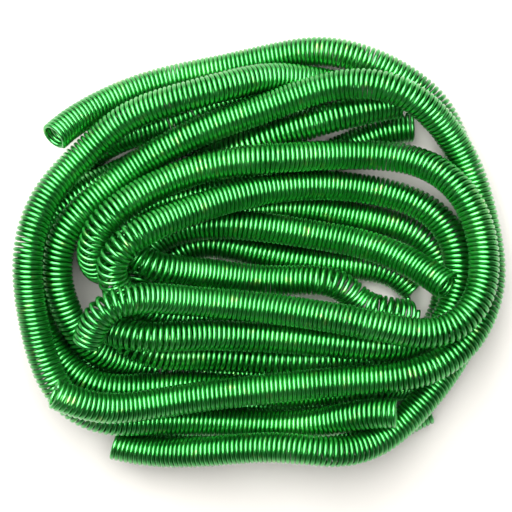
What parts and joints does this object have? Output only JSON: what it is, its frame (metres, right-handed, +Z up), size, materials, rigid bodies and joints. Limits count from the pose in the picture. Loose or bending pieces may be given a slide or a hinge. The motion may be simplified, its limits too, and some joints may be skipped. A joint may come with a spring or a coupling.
{
  "type": "close-wound coil spring hank",
  "caption": "Loose hank of close-wound coil spring, twelve cut lengths of thin bright metallic green enamelled copper wire lying over each other.",
  "frame": {"origin": "centre of the hank's plan outline, on the surface that it lies on", "axes": "+X along the hank's long lie, +Y from its front bundle to its back bundle, +Z up"},
  "size_m": [0.0554, 0.0497, 0.0153],
  "materials": {
    "green_enamelled_copper": "bright metallic green enamel on round copper wire"
  },
  "bodies": {
    "root": {"coil_length_01": "green_enamelled_copper", "coil_length_02": "green_enamelled_copper", "coil_length_03": "green_enamelled_copper", "coil_length_04": "green_enamelled_copper", "coil_length_05": "green_enamelled_copper", "coil_length_06": "green_enamelled_copper", "coil_length_07": "green_enamelled_copper", "coil_length_08": "green_enamelled_copper", "coil_length_09": "green_enamelled_copper", "coil_length_10": "green_enamelled_copper", "coil_length_11": "green_enamelled_copper", "coil_length_12": "green_enamelled_copper"}
  },
  "joints": []
}
